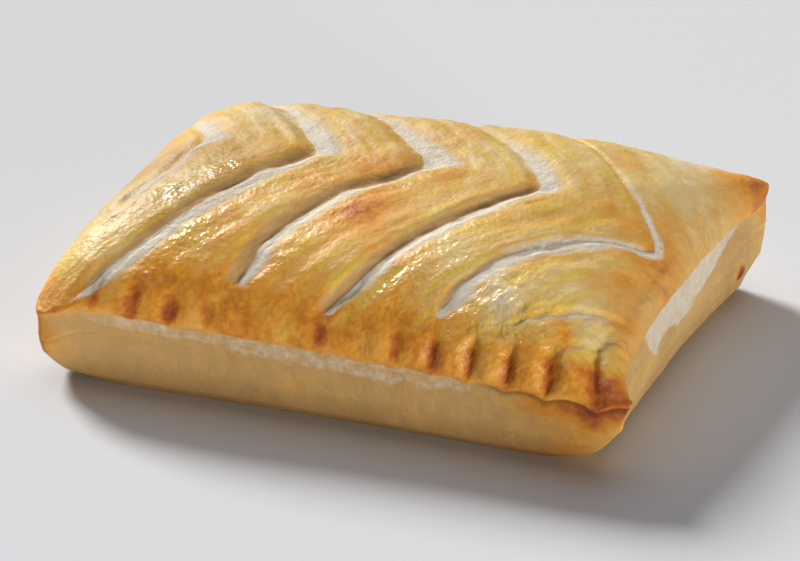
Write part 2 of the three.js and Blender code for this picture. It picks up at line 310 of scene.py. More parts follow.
# What a slash lays bare: its floor opens past the foot and is covered again past its run, and the last slash
# is less floury. The edge of the next strip has a brow that shines.
BARE_OPENING = Zone(0.1 * MM, 1.5 * MM)
BARE_RUN_SHARE, BARE_OVERRUN = 0.35, 3 * MM
BARE_DEPTH = Zone(0.08, 0.3)
FLOUR_FADING = Zone(2 * MM, 28 * MM)
LATE_FLOUR, LATE_OPENING = 0.6, Zone(3 * MM, 9 * MM)
PALE_WALL_TOP = 0.3
PALE_WALL_OPENING, PALE_WALL_CLOSING = Zone(-36 * MM, -22 * MM), Zone(-7 * MM, -1 * MM)
WALL_END = 1.2 * MM
WALL_DEPTH = Zone(0.4, 0.8)
BROW_ACROSS = Zone(2 * MM, -8 * MM)

# Fine relief: the size of its features and how high they stand on the lid, in the slashes and on the side
SWELL_SIZE, SWELL_HEIGHT, SIDE_SWELL_HEIGHT = 15 * MM, 0.6 * MM, 0.3 * MM
LUMP_SIZE, LUMP_HEIGHT = 5.5 * MM, 0.4 * MM
WRINKLE_SIZE, WRINKLE_HEIGHT, FLOOR_WRINKLE_HEIGHT = 1.7 * MM, 0.12 * MM, 0.3 * MM
BLISTER_SIZE, BLISTER_HEIGHT = 4 * MM, 0.35 * MM
FLOOR_BLISTER_HEIGHT, SIDE_BLISTER_HEIGHT = 0.25 * MM, 0.2 * MM
PEBBLE_SIZE, PEBBLE_HEIGHT, BROW_PEBBLE_HEIGHT = 2.3 * MM, 0.5 * MM, 0.25 * MM
LAYER_SIZE, LAYER_HEIGHT, LAYER_BLISTER = 0.9 * MM, 0.35 * MM, 0.6
LID_GRAIN, SIDE_GRAIN, LUMP_GRAIN = 0.22, 0.16, 2
SETTLE_RUN = 8 * MM
PEBBLES_ALONG, PEBBLES_ACROSS = Zone(24 * MM, 44 * MM), Zone(-0.5, -0.72)
TUCK_CALM, TUCK_ALONG, TUCK_ACROSS = 0.7, Zone(-0.75, -0.95), Zone(-0.6, -0.85)
FOOT_CALM = 0.4

# Zones that the oven treats alike
FRONT_ZONE, EDGE_ZONE, BACK_ZONE = Zone(-0.5, -0.92), Zone(-0.82, -0.93), Zone(0.6, 1)
END_ZONE, RIGHT_ZONE = Zone(0.8, 1), Zone(-8 * MM, 22 * MM)
AWAY_ZONE, CROWN_ZONE = Zone(-4 * MM, 6 * MM), Zone(0, 20 * MM)
PATCH_SIZE, STREAK_SIZE, STREAK_GRAIN, SMEAR_SIZE = 11 * MM, 4.5 * MM, 1.6, 2.4 * MM

# How done the lid is, from straw at 0 to burnt at 1: its level, and what each zone and mark adds
LID_DONE, MOST_DONE = 0.24, 0.86
FRONT_DONE, FRONT_EASED = 0.2, 0.75
EDGE_DONE_LEFT, EDGE_DONE_RIGHT = 0.12, 0.27
CROWN_DONE, BACK_DONE, END_DONE = -0.1, 0.1, 0.15
PATCH_DONE, STREAK_DONE = 0.14, 0.16
CRIMP_DONE, CRIMP_DONE_ZONE = 0.36, Zone(0.15, 0.8)
HARD_CRIMP_DONE, HARD_CRIMP_ZONE = 0.16, Zone(0.85, 1.15)
WALL_DONE, DEEP_DONE, DEEP_ZONE = 0.12, -0.05, Zone(0.3, 0.8)

# Dry toasting, flour and gloss of the lid
WALL_TOAST_ZONE = Zone(0.15, 0.6)
END_TOAST, END_TOAST_ZONE, END_TOAST_EASED = 0.4, Zone(0.82, 1), 0.5
BACK_FLOUR, BACK_FLOUR_ZONE = 0.26, Zone(14 * MM, 44 * MM)
LID_GLOSS, BROW_GLOSS = 0.34, 0.3
END_DULLNESS, END_DULL_ZONE, TOAST_DULLNESS = 0.6, Zone(0.72, 0.92), 0.9
SIDE_GLOSS, BEAD_GLOSS = 0.1, 0.7

# Painted shade that greys the lid, least in a band along the front, which stands out brighter as a painted
# sheen, and most at the back and the left, where it darkens what the key light lights most
LID_SHADE = 0.15
BRIGHT_OPENING, BRIGHT_CLOSING = Zone(-0.45, -0.7), Zone(-0.86, -0.95)
BACK_SHADE, BACK_SHADE_ZONE, BACK_SHADE_END = 0.304, Zone(-30 * MM, 2 * MM), Zone(0.6, 0.9)
BACK_SHADE_EASED, BACK_SHADE_EASING, FLOOR_SHADE_EASED = 0.4, Zone(4 * MM, 30 * MM), 0.3
LEFT_SHADE, LEFT_SHADE_ALONG = 0.386, Zone(-0.3, -0.6)
LEFT_SHADE_OPENING, LEFT_SHADE_CLOSING = Zone(-45 * MM, -32 * MM), Zone(-8 * MM, 10 * MM)

# What worked on the side, and what each adds to its doneness, its dry toasting and its painted shade. The
# painted shade greys the whole side a little, and darkens the shadow line under the lip, the base's foot, the
# front of the side towards the right and the back of the right end.
Influence = namedtuple("Influence", "done toasted shade")
SIDE_LEVEL = Influence(0.3, 0.9, 0.22)
PATCHES = Influence(0.1, -0.3, 0)
SMEARS = Influence(0.08, -0.2, 0)
CORNERS = Influence(0.12, -0.6, 0)
# Browned where the heat caught it, with painted shade that darkens the front of the side towards the right
CAUGHT_AND_SHADED_FRONT = Influence(0.15, -0.4, 0.3)
EAR_TIP = Influence(0.6, -1, 0)
FOLDED_LIP = Influence(0.35, -1, 0)
BURNT_BEAD = Influence(1.5, -2, 0)
RIGHT_END = Influence(-0.2, -0.25, 0)
END_BACK = Influence(0, 0, 0.25)
# Painted shadow line under the lid's lip at the front right
LIP_SHADOW_LINE = Influence(0, 0, 0.7)
# Painted shade that darkens the base towards its foot
PAINTED_FOOT_SHADE = Influence(0, 0, 0.6)
CORNER_SHARPNESS = 10
CAUGHT_ALONG, FRONT_FACE = Zone(0.5, 0.9), Zone(-0.97, -1)
EAR_BELOW = Zone(2 * MM, 8 * MM)
LIP_ALONG, FOLD_ALONG, FOLD_BELOW = Zone(34 * MM, 48 * MM), Zone(44 * MM, 62 * MM), Zone(3 * MM, 8 * MM)
# How far below the edge the painted shadow line under the lip begins and ends
SHADOW_LINE_OPENING, SHADOW_LINE_CLOSING = Zone(0.6 * MM, 1.2 * MM), Zone(1.6 * MM, 2.8 * MM)
END_BACK_ZONE = Zone(0.3, 0.8)
# Rings over which the painted shade at the foot grows, and how much less of it the right end gets
FOOT_RINGS, FOOT_EASED = Zone(6.4, 8.7), 0.5
LID_RINGS = 1.5

# The finish: the size of its features, how much they vary the doneness, and how done each colour is
BLOTCH_SIZE, FLECK_SIZE, PIMPLE_SIZE = 7 * MM, 2 * MM, 1.2 * MM
FLAKE_SIZE, EGG_SIZE = 1.1 * MM, 3.4 * MM
BLOTCH_VARIETY, FLECK_VARIETY, PIMPLE_VARIETY = 0.5, 0.4, 0.2
GOLD_AT, AMBER_AT, BROWN_AT = 0.28, 0.55, 0.8
DULL_ROUGHNESS, GLAZED_ROUGHNESS = 0.75, 0.25
SPECULAR_LEVEL = 0.35
BLOTCH_DETAIL, PIMPLE_DETAIL = 3, 1
EGG_ZONE, EGG_SHARE, EGG_BROWNING, EGG_GLAZE = Zone(0.44, 0.62), 0.8, Zone(0.3, 0.55), Zone(0.16, 0.34)
TOAST_FLAKES, TOAST_FLECKS, TOAST_ZONE = 0.6, 0.4, Zone(0.15, 0.85)
LAYER_ZONE = Zone(0.38, 0.62)
FLOUR_FLAKES, FLOUR_FLECKS, FLOUR_ZONE = 0.5, 0.7, Zone(0.22, 0.72)
FLOUR_TAN_ZONE, FLOUR_TAN = Zone(0.48, 0.7), 0.22
BUBBLE_DRY, BUBBLE_GLAZED = 0.25, 1.5
SOFTNESS, SOFTNESS_DEPTH, SOFTNESS_TINT = 0.1, 1.5 * MM, (1, 0.6, 0.25)
FLECK_RELIEF, FLAKE_RELIEF = 0.6, 0.14
BUMP_STRENGTH, BUMP_HEIGHT = 0.9, 0.36 * MM

# The studio: suns with the way towards them, their strength, their width and their colour
Sun = namedtuple("Sun", "name toward strength angle colour")
SUNS = (
    Sun("key", (-1.35, 1.05, 1), 4, math.radians(16), (1, 1, 0.985)),
    Sun("top", (-0.1, 0.42, 1), 0.72, math.radians(64), (0.98, 0.95, 1)),
    Sun("fill", (0.8, -0.6, 0.02), 3.4, math.radians(14), (1, 1, 1)),
)
WORLD_STRENGTH = 0.03
FLOOR_HALF = 6
FLOOR_ROUGHNESS = 0.9
SENSOR_MM, LENS_MM = 36, 220.59
TARGET = (4.5 * MM, -10.59 * MM, 18 * MM)

# How far the noise moves on from one seed to the next
SEED_SHIFT = (7.31, 3.17, 5.53)

# Fineness of the mesh
ROWS = 204
ROW_CROWDING = 1.25
WALL_COLUMNS = 8
FLOOR_COLUMNS = 8
STRIP_COLUMN_WIDTH = 1.06 * MM
LEAST_COLUMN = 0.05 * MM


def length(name, description, default):
    return FloatProperty(name=name, description=description, default=default, unit="LENGTH")


def angle(name, description, degrees):
    return FloatProperty(name=name, description=description, default=math.radians(degrees), subtype="ANGLE")


def colour(name, description, default):
    return FloatVectorProperty(name=name, description=description, default=default, subtype="COLOR")


class BakeShape(bpy.types.PropertyGroup):
    """Sizes of the bake that a baker would vary"""

    rim_height: length("Rim height", "Height of the lid's edge", 20.2 * MM)
    crown_height: length("Crown height", "Height of the puffed lid", 42.8 * MM)
    slash_depth: length("Slash depth", "Depth of the chevron slashes", 2 * MM)
    crimp_depth: length("Crimp depth", "How far the crimps are pressed in", 0.8 * MM)


class BakeColours(bpy.types.PropertyGroup):
    """Colours of the pastry, from raw to burnt"""

    # Cream is also the colour of the painted sheen in a few floury marks on the lid
    cream: colour("Cream", "Floury pastry in the slashes", (0.88, 0.80, 0.65))
    tan: colour("Tan", "Unglazed pastry that caught the heat", (0.70, 0.418, 0.149))
    straw: colour("Straw", "Palest egg-washed crust", (0.91, 0.68, 0.286))
    gold: colour("Gold", "Golden crust", (0.91, 0.51, 0.121))
    amber: colour("Amber", "Well-baked crust", (0.91, 0.374, 0.035))
    brown: colour("Brown", "Browned crimps and edges", (0.627, 0.165, 0.024))
    burnt: colour("Burnt", "Caught spots", (0.308, 0.066, 0.0154))
    yolk: colour("Yolk", "Thick egg wash", (0.90, 0.605, 0.077))
    toast: colour("Toast", "Browned layers in the walls of the slashes", (0.594, 0.341, 0.121))
    # The tint of painted shade: the colour is darkened towards it in the shadow line under the lip, at the
    # base's foot and in the greyer parts of the lid and the side
    shade: colour("Shade", "Tint of cracks and of the base's foot", (0.45, 0.4, 0.35))


class BakeStudio(bpy.types.PropertyGroup):
    """Camera, light and floor"""

    azimuth: angle("Azimuth", "Camera's turn round the bake", 19.81)
    elevation: angle("Elevation", "Camera's height angle", 26.27)
    distance: length("Distance", "Camera to the point it looks at", 1.12095)
    floor: colour("Floor", "Colour of the floor", (0.735, 0.745, 0.765))


def smoothstep(low, high, value):
    share = np.clip((value - low) / (high - low), 0, 1)
    return share * share * (3 - 2 * share)


def blend(first, second, share):
    return first + (second - first) * share


def round_corners(u, v, power):
    """Draws the corners of the flat sheet in to a superellipse; the sheet runs from -1 to 1 along u and v"""
    shrink = (1 + np.abs(u * v) ** power) ** (-1 / power)
    return u * shrink, v * shrink


def plan_point(u, v, power, lobed=1):
    """Where a point of the flat sheet lies in plan, with its ear and as much of its lobe as is asked"""
    across, along = round_corners(u, v, power)
    right = np.maximum(across, 0)
    ear = EAR_REACH * (right * np.maximum(along, 0)) ** EAR_POWER
    lobe = lobed * LOBE_REACH * (right * np.maximum(-along, 0)) ** LOBE_POWER
    x = HALF_LENGTH * across - SIDE_BOW * across * (1 - along**2) + END_LEAN * right * along + ear + lobe
    y = HALF_WIDTH * along - SIDE_BOW * along * (1 - across**2)
    return x, y


def lid_power(u):
    return np.where(u < 0, CORNER_POWER_LEFT, CORNER_POWER_RIGHT)


def lid_plan(u, v):
    return plan_point(u, v, lid_power(u))


def plan_middle():
    """Middle of the rim's plan, which is the origin of the shared frame"""
    side = np.linspace(-1, 1, EDGE_SAMPLES)
    end = np.ones_like(side)
    x, y = lid_plan(np.concatenate([side, side, end, -end]), np.concatenate([end, -end, side, side]))
    return np.array([x.min() + x.max(), y.min() + y.max()]) / 2


def even_rim(u, v, shape):
    """Height of the lid's edge before it is slashed and crimped"""
    droop = marked(HALF_LENGTH * u, HALF_WIDTH * v, DROOPS)
    return shape.rim_height + RIM_TILT * v + RIM_TWIST * u * v + droop


def smooth_lid(u, v, shape):
    """Height of the puffed lid before it is slashed and crimped"""
    end_fall = np.maximum(1 - np.abs(u) ** np.where(u < 0, FALL_LEFT, FALL_RIGHT), 0) ** FALL_SHAPE
    side_fall = np.maximum(1 - np.abs(v) ** np.where(v < 0, FALL_FRONT, FALL_BACK), 0) ** FALL_SHAPE
    right = np.maximum(u, 0)
    arch = END_ARCH * (1 - v**2) * right**END_ARCH_POWER
    back = np.maximum(v, 0)
    corner = (right * back) ** EAR_POWER * (1 - right**EAR_EDGE) * (1 - back**EAR_EDGE)
    climb = shape.crown_height + CROWN_TILT * u - shape.rim_height
    return even_rim(u, v, shape) + arch + climb * end_fall * side_fall + EAR_PUFF * corner


def noise_field(places, size, seed):
    """Smooth noise between about -1 and 1, with features of the given size"""
    shift = seed * Vector(SEED_SHIFT)
    return np.array([noise.noise(Vector(place) + shift) for place in places / size])


def noise_line(y, size, seed):
    return noise_field(np.stack([y, np.zeros_like(y), np.zeros_like(y)], axis=1), size, seed)


def arm_way(y):
    return np.hypot(y, APEX_ROUND) - APEX_ROUND


def slash_foot(slash, y, seed):
    """X of the foot of a slash's wall, with the wander and fray of a hand cut that opened in the oven"""
    slope = np.where(y < 0, slash.front.slope, slash.back.slope)
    bend = np.where(y < 0, slash.front.bend, slash.back.bend)
    way = arm_way(y)
    wander = EDGE_WANDER * noise_line(y, EDGE_WANDER_SIZE, seed)
    fray = EDGE_FRAY * noise_line(y, EDGE_FRAY_SIZE, seed)
    return slash.apex - slope * way - bend * way**2 + wander + fray


def arm_reach(slash, y):
    return np.where(y < 0, slash.front.reach, slash.back.reach)


def floor_run(slash, y, seed):
    """Length along X of a slash's open floor"""
    outward = np.abs(y) / np.maximum(arm_reach(slash, y), APEX_ROUND)
    opened = blend(APEX_OPEN_SHARE, 1, smoothstep(0, APEX_OPEN_SHARE, outward))
    closing, shutting = Zone(FRONT_CLOSING.start, 1), Zone(BACK_CLOSING.start, 1)
    front = slash.front.floor * opened * (1 - FRONT_CLOSING.share * smoothstep(*closing, outward))
    back = slash.back.floor * (1 - BACK_CLOSING.share * smoothstep(*shutting, outward))
    wander = FLOOR_WANDER * noise_line(y, EDGE_WANDER_SIZE, seed + FLOOR_SEED)
    fray = FLOOR_FRAY * noise_line(y, EDGE_FRAY_SIZE, seed + FLOOR_SEED)
    return blend(front, back, smoothstep(-FLOOR_TURN, FLOOR_TURN, y)) * (1 + wander + fray)


def arm_depth(slash, y):
    """Depth of a slash across the lid, as a share of the deepest"""
    reach = arm_reach(slash, y)
    outward = np.clip(-y / slash.front.reach, 0, 1)
    opened = smoothstep(slash.start - ARM_START, slash.start + ARM_START, np.abs(y)) if slash.start else 1
    run_out = 1 - smoothstep(reach - ARM_FADE, reach, np.abs(y))
    return (slash.depth + slash.deepening * outward) * opened * run_out


class Sheet:
    """The lid as a flat sheet: its rows, its columns, and where each row meets the slashes"""

    def __init__(self):
        share = np.linspace(-1, 1, ROWS + 1)
        self.v = np.sign(share) * (1 - (1 - np.abs(share)) ** ROW_CROWDING)
        y = HALF_WIDTH * self.v
        self.feet, self.runs, self.depths, ends = [], [], [], []
        for seed, slash in enumerate(SLASHES):
            across = y - slash.middle
            foot = slash_foot(slash, across, seed)
            run = floor_run(slash, across, seed)
            self.feet.append(foot)
            self.runs.append(run)
            self.depths.append(arm_depth(slash, across))
            ends += [foot - slash.wall, foot, foot + run]
        ends.append(np.full_like(y, HALF_LENGTH))
        self.x = self.spread(np.clip(ends, -HALF_LENGTH, HALF_LENGTH))

    def spread(self, ends):
        """Columns that follow the edges of every slash, pushed apart where a slash runs off an end"""
        start = np.full_like(ends[0], -HALF_LENGTH)
        widths = np.diff([start, *ends], axis=0).max(axis=1)
        counts = np.ceil(widths / STRIP_COLUMN_WIDTH).astype(int)
        counts[1::3] = WALL_COLUMNS
        counts[2::3] = FLOOR_COLUMNS
        lowest = start
        for index, count in enumerate(counts):
            ends[index] = np.maximum(ends[index], lowest + LEAST_COLUMN * count)
            lowest = ends[index]
        highest = np.full_like(start, HALF_LENGTH)
        for index in reversed(range(len(counts))):
            ends[index] = np.minimum(ends[index], highest)
            highest = ends[index] - LEAST_COLUMN * counts[index]
        columns = [start]
        for end, count in zip(ends, counts):
            first = columns[-1]
            columns += [blend(first, end, step / count) for step in range(1, count + 1)]
        return np.array(columns)


def rolled_edge(past, wall):
    """Share of the full depth before the foot: a round shoulder, and then a straight wall"""
    turn = np.clip(1 + past / wall, 0, 2)
    return (np.hypot(turn, WALL_SHOULDER) - WALL_SHOULDER) / (math.hypot(1, WALL_SHOULDER) - WALL_SHOULDER)


def slash_profile(past, run, wall):
    """Share of the full depth past a slash's foot: the floor climbs, and the next strip rounds on"""
    climb = 1 - (1 - FLOOR_TOP) * np.clip(past / run, -1, 1)
    strip = FLOOR_TOP * (1 - np.clip((past - run) / STRIP_RISE_RUN, 0, 1)) ** 2
    rising = np.where(past < run, climb, strip)
    falling = rolled_edge(past, wall)
    sharp = FOOT_SHARPNESS
    return np.maximum(-np.log(np.exp(-sharp * falling) + np.exp(-sharp * rising)) / sharp, 0)


def crimp_length(x, rise):
    """How much of a crimp is left so far above the rim; the crimps at the right reach higher"""
    right = smoothstep(PLEAT_FROM, PLEAT_TO, x)
    middle = blend(CRIMP_RISE, CRIMP_RISE_RIGHT, right)
    half = blend(CRIMP_HALF_RISE, CRIMP_HALF_RISE_RIGHT, right)
    return np.clip(1 - ((rise - middle) / half) ** 2, 0, 1)


def pleat_swell(x, rise):
    """How far the lid swells between two crimps"""
    between = 0.5 - 0.5 * np.cos(2 * math.pi * (x - CRIMP_FIRST) / CRIMP_PITCH)
    return between * crimp_length(x, rise) * smoothstep(PLEAT_FROM, PLEAT_TO, x)


def crimp_press(x, rise):
    """How hard each place is pressed by the crimps, from how far it rises above the rim"""
    lengthwise = crimp_length(x, rise)
    half_width = blend(CRIMP_HALF_WIDTH, CRIMP_HALF_WIDTH_RIGHT, smoothstep(PLEAT_FROM, PLEAT_TO, x))
    press = np.zeros_like(x)
    for index, share in enumerate(CRIMP_SHARES):
        away = (x - CRIMP_FIRST - index * CRIMP_PITCH) / half_width
        press = np.maximum(press, share * np.exp(-(away**2)))
    return press * lengthwise


def marked(x, y, marks):
    """Sum of soft round marks"""
    amount = np.zeros_like(x)
    for mark in marks:
        amount += mark.amount * np.exp(-((x - mark.x) ** 2 + (y - mark.y) ** 2) / mark.radius**2)
    return amount


def pattern_mesh(columns, side_steps):
    """A flat sheet whose edge is folded down ring by ring and closed below, still in steps of the pattern"""
    sheet = bmesh.new()
    bmesh.ops.create_grid(sheet, x_segments=columns, y_segments=ROWS, size=1)
    rim = [edge for edge in sheet.edges if edge.is_boundary]
    rings = side_steps + len(UNDERSIDE_SHARES)
    for _ in range(rings):
        folded = bmesh.ops.extrude_edge_only(sheet, edges=rim)["geom"]
        corners = [item for item in folded if isinstance(item, bmesh.types.BMVert)]
        bmesh.ops.translate(sheet, verts=corners, vec=(0, 0, -1))
        rim = [item for item in folded if isinstance(item, bmesh.types.BMEdge) and item.is_boundary]
    closing = bmesh.ops.extrude_edge_only(sheet, edges=rim)["geom"]
    tip = [item for item in closing if isinstance(item, bmesh.types.BMVert)]
    bmesh.ops.pointmerge(sheet, verts=tip, merge_co=(0, 0, -rings - 1))
    bmesh.ops.recalc_face_normals(sheet, faces=sheet.faces)
    mesh = bpy.data.meshes.new("bake_pastry")
    sheet.to_mesh(mesh)
    sheet.free()
    return mesh


def side_stations(u, v, edge, shape):
    """Places of the side's rings below each point of the lid's edge"""
    stations = [edge]
    rim = even_rim(u, v, shape)
    for ring in SIDE_RINGS:
        x, y = plan_point(u, v, ring.corner_power, ring.lobed)
        heights = {"edge": edge[:, 2] - ring.amount, "rim": rim - ring.amount, "share": rim * ring.amount}
        x = x * (1 - ring.inset / HALF_LENGTH)
        y = y * (1 - ring.inset / HALF_WIDTH)
        stations.append(np.stack([x, y, heights[ring.level]], axis=1))
    return np.array(stations)


def get_places(mesh):
    places = np.empty(len(mesh.vertices) * 3, np.float32)
    mesh.vertices.foreach_get("co", places)
    return places.reshape(-1, 3).astype(float)


def set_places(mesh, places):
    mesh.vertices.foreach_set("co", places.astype(np.float32).ravel())
    mesh.update()


def vertex_normals(mesh):
    normals = np.empty(len(mesh.vertices) * 3, np.float32)
    mesh.vertex_normals.foreach_get("vector", normals)
    return normals.reshape(-1, 3)


def add_attribute(mesh, name, values):
    layer = mesh.attributes.new(name, "FLOAT", "POINT")
    layer.data.foreach_set("value", np.clip(values, 0, 1).astype(np.float32))


def add_vector_attribute(mesh, name, vectors):
    layer = mesh.attributes.new(name, "FLOAT_VECTOR", "POINT")
    layer.data.foreach_set("vector", vectors.astype(np.float32).ravel())


class Pastry:
    """The mesh of the pastry, and what each of its points is: a place on the lid, or so far down the side"""

    def __init__(self, shape):
        sheet = Sheet()
        columns = len(sheet.x) - 1
        self.side_steps = sum(ring.steps for ring in SIDE_RINGS)
        self.mesh = pattern_mesh(columns, self.side_steps)
        pattern = get_places(self.mesh)
        column = np.rint((pattern[:, 0] + 1) / 2 * columns).astype(int)
        row = np.rint((pattern[:, 1] + 1) / 2 * ROWS).astype(int)
        self.ring = np.rint(-pattern[:, 2]).astype(int)
        self.lid = self.ring == 0
        self.side = (self.ring > 0) & (self.ring <= self.side_steps)
        self.v = sheet.v[row]
        self.x = sheet.x[column, row]
        self.u = self.x / HALF_LENGTH
        self.y = HALF_WIDTH * self.v
        self.cut(sheet, row)
        self.place(shape)
        self.roughen()
        self.bake()

    def cut(self, sheet, row):
        """Depth, bare floors and walls of the slashes"""
        count = len(row)
        end_fade = 1 - smoothstep(END_FADE_START, HALF_LENGTH, np.abs(self.x))
        self.depth = np.zeros(count)
        self.bare = np.zeros(count)
        self.wall = np.zeros(count)
        self.brow = np.zeros(count)
        for slash, foot, run, deep in zip(SLASHES, sheet.feet, sheet.runs, sheet.depths):
            past = self.x - foot[row]
            share = deep[row] * (1 if slash.start else end_fade)
            self.depth = np.maximum(self.depth, share * slash_profile(past, run[row], slash.wall))
            bared = self.bared(slash, past, run[row]) * smoothstep(*BARE_DEPTH, share)
            self.bare = np.maximum(self.bare, bared)
            brow = np.exp(-(((past - run[row] - BROW_START) / BROW_RUN) ** 2))
            self.brow = np.maximum(self.brow, brow * smoothstep(*BROW_ACROSS, self.y) * share)
            rolled = np.minimum(rolled_edge(past, slash.wall), 1) * (past <= WALL_END)
            self.wall = np.maximum(self.wall, rolled * smoothstep(*WALL_DEPTH, share))

    def bared(self, slash, past, run):
        """How much flour a slash lays bare at each point, from how far the point lies past the slash's foot
        """
        floor = smoothstep(*BARE_OPENING, past)
        floor *= 1 - smoothstep(BARE_RUN_SHARE * run, run + BARE_OVERRUN, past)
        floor *= 1 - slash.fading * smoothstep(*FLOUR_FADING, self.y)
        wall = slash.pale_wall * smoothstep(-slash.wall, -PALE_WALL_TOP * slash.wall, past)
        wall *= past < WALL_END
        wall *= smoothstep(*PALE_WALL_OPENING, self.y) * (1 - smoothstep(*PALE_WALL_CLOSING, self.y))
        bare = np.maximum(floor, wall)
        if slash.start:
            bare *= LATE_FLOUR * smoothstep(*LATE_OPENING, np.abs(self.y) - slash.start)
        return bare

    def place(self, shape):
        """Lays every point out on the lid, the side or the underside"""
        smooth = smooth_lid(*round_corners(self.u, self.v, lid_power(self.u)), shape)
        rim = even_rim(self.u, self.v, shape)
        self.press = crimp_press(self.x, smooth - rim)
        self.press *= np.where(self.v > 0, 1 - smoothstep(BACK_CRIMP_FADE, BACK_CRIMP_END, self.x), 1)
        harder = blend(1, CRIMP_HARDER, smoothstep(CRIMP_HARD_FROM, CRIMP_HARD_TO, self.x))
        plan_x, plan_y = lid_plan(self.u, self.v)
        height = smooth - shape.slash_depth * self.depth - shape.crimp_depth * harder * self.press
        pleat = pleat_swell(self.x, smooth - rim) * (self.v < 0)
        height = height + marked(self.x, self.y, PUFFING) + PLEAT_HEIGHT * pleat
        bite = np.sign(self.v) * CRIMP_BITE * harder * self.press + PLEAT_REACH * pleat
        edge = np.stack([plan_x, plan_y - bite, height], axis=1)

        stations = side_stations(self.u, self.v, edge, shape)
        levels = np.cumsum([0, *(station.steps for station in SIDE_RINGS)])
        self.along = np.interp(self.ring, levels, np.arange(len(levels)))
        lower = np.minimum(self.along.astype(int), len(stations) - 2)
        index = np.arange(len(lower))
        part = (self.along - lower)[:, None]
        places = blend(stations[lower, index], stations[lower + 1, index], part)
        shares = np.array([1, *UNDERSIDE_SHARES, 0])
        under = np.clip(self.ring - self.side_steps, 0, len(shares) - 1)
        places[:, :2] = places[:, :2] * shares[under][:, None] - plan_middle()
        self.below = edge[:, 2] - places[:, 2]
        self.places = places
        set_places(self.mesh, places)

    def roughen(self):
        """Pushes the surface out into swells, lumps, blisters and flakes, and flattens the underside"""
        strip_x = self.x + CHEVRON_SLOPE * arm_way(self.y)
        places = self.places
        flat = np.zeros_like(strip_x)
        self.grain_lid = np.stack([strip_x, LID_GRAIN * self.y, flat], axis=1)
        plan_x, plan_y, height = places.T
        self.grain_side = np.stack([height, SIDE_GRAIN * plan_x, SIDE_GRAIN * plan_y], axis=1)
        add_vector_attribute(self.mesh, "grain", np.where(self.lid[:, None], self.grain_lid, self.grain_side))
        self.pale_zone()
        bead = ((places + np.array([*plan_middle(), 0]) - np.array(BEAD)) ** 2).sum(axis=1)
        self.bead = self.side * np.exp(-bead / BEAD_RADIUS**2)
        push = self.relief()
        push[self.along > len(SIDE_RINGS) - 1] *= FOOT_CALM
        push += BEAD_HEIGHT * self.bead
        places = places + vertex_normals(self.mesh) * push[:, None]
        places[self.ring >= self.side_steps, 2] = 0
        places[:, 2] = np.maximum(places[:, 2], 0)
        self.places = places
        set_places(self.mesh, places)

    def relief(self):
        """How far each point is pushed out: by its glazed lid, its bare floors, its cut edge and its side"""
        swell = noise_field(self.places, SWELL_SIZE, seed=1)
        lumps = noise_field(self.grain_lid * np.array([1, LUMP_GRAIN, 1]), LUMP_SIZE, seed=2)
        wrinkle = noise_field(self.grain_lid, WRINKLE_SIZE, seed=3)
        blister = noise_field(self.places, BLISTER_SIZE, seed=6)
        layers = noise_field(self.grain_side, LAYER_SIZE, seed=4)
        pebbles = noise_field(self.places, PEBBLE_SIZE, seed=11)
        inward = np.minimum(HALF_WIDTH - np.abs(self.y), HALF_LENGTH - np.abs(self.x))
        settle = smoothstep(0, SETTLE_RUN, inward)
        tucked = TUCK_CALM * smoothstep(*TUCK_ALONG, self.u) * smoothstep(*TUCK_ACROSS, self.v)
        glazed = self.lid * (1 - self.bare) * (1 - tucked)
        knobbly = smoothstep(*PEBBLES_ALONG, self.x) * smoothstep(*PEBBLES_ACROSS, self.v)
        push = self.lid * settle * SWELL_HEIGHT * swell
        push += glazed * (PEBBLE_HEIGHT * knobbly + BROW_PEBBLE_HEIGHT * self.brow) * pebbles
        push += glazed * (LUMP_HEIGHT * settle * lumps + BLISTER_HEIGHT * blister + WRINKLE_HEIGHT * wrinkle)
        push += self.lid * self.bare * (FLOOR_WRINKLE_HEIGHT * wrinkle + FLOOR_BLISTER_HEIGHT * blister)
        push += self.side * self.pale * LAYER_HEIGHT * (layers + LAYER_BLISTER * blister)
        push += self.side * (1 - self.pale) * (SIDE_BLISTER_HEIGHT * blister + SIDE_SWELL_HEIGHT * swell)
        return push

    def pale_zone(self):
        """How pale the cut edge below the lid is at each point of the side"""
        end = smoothstep(END_FACE_FROM, END_FACE_TO, self.u)
        taper = smoothstep(END_PALE_FRONT, END_PALE_FRONT_FULL, self.v)
        taper = taper * (1 - smoothstep(END_PALE_BACK_FULL, END_PALE_BACK, self.v))
        left = smoothstep(FRONT_PALE_LEFT - PALE_TAPER, FRONT_PALE_LEFT + PALE_TAPER, self.x)
        right = 1 - smoothstep(FRONT_PALE_RIGHT - PALE_TAPER, FRONT_PALE_RIGHT + PALE_TAPER, self.x)
        front_to = FRONT_PALE_TO * blend(1, left * right, smoothstep(FRONT_HALF_FROM, FRONT_HALF_TO, self.v))
        wander = PALE_WANDER * noise_field(self.places, PALE_WANDER_SIZE, seed=7)
        fray = PALE_FRAY * noise_field(self.places, PALE_FRAY_SIZE, seed=8)
        depth = blend(front_to, END_PALE_TO * taper, end) * (1 + wander + fray)
        opened = smoothstep(PALE_FROM - PALE_SOFTNESS, PALE_FROM + PALE_SOFTNESS, self.below)
        closed = 1 - smoothstep(depth - PALE_SOFTNESS, depth + PALE_SOFTNESS, self.below)
        self.pale = self.side * opened * closed * smoothstep(PALE_LEAST, PALE_SURE, depth)
        self.paleness = self.pale * blend(FRONT_PALENESS, END_PALENESS, end)

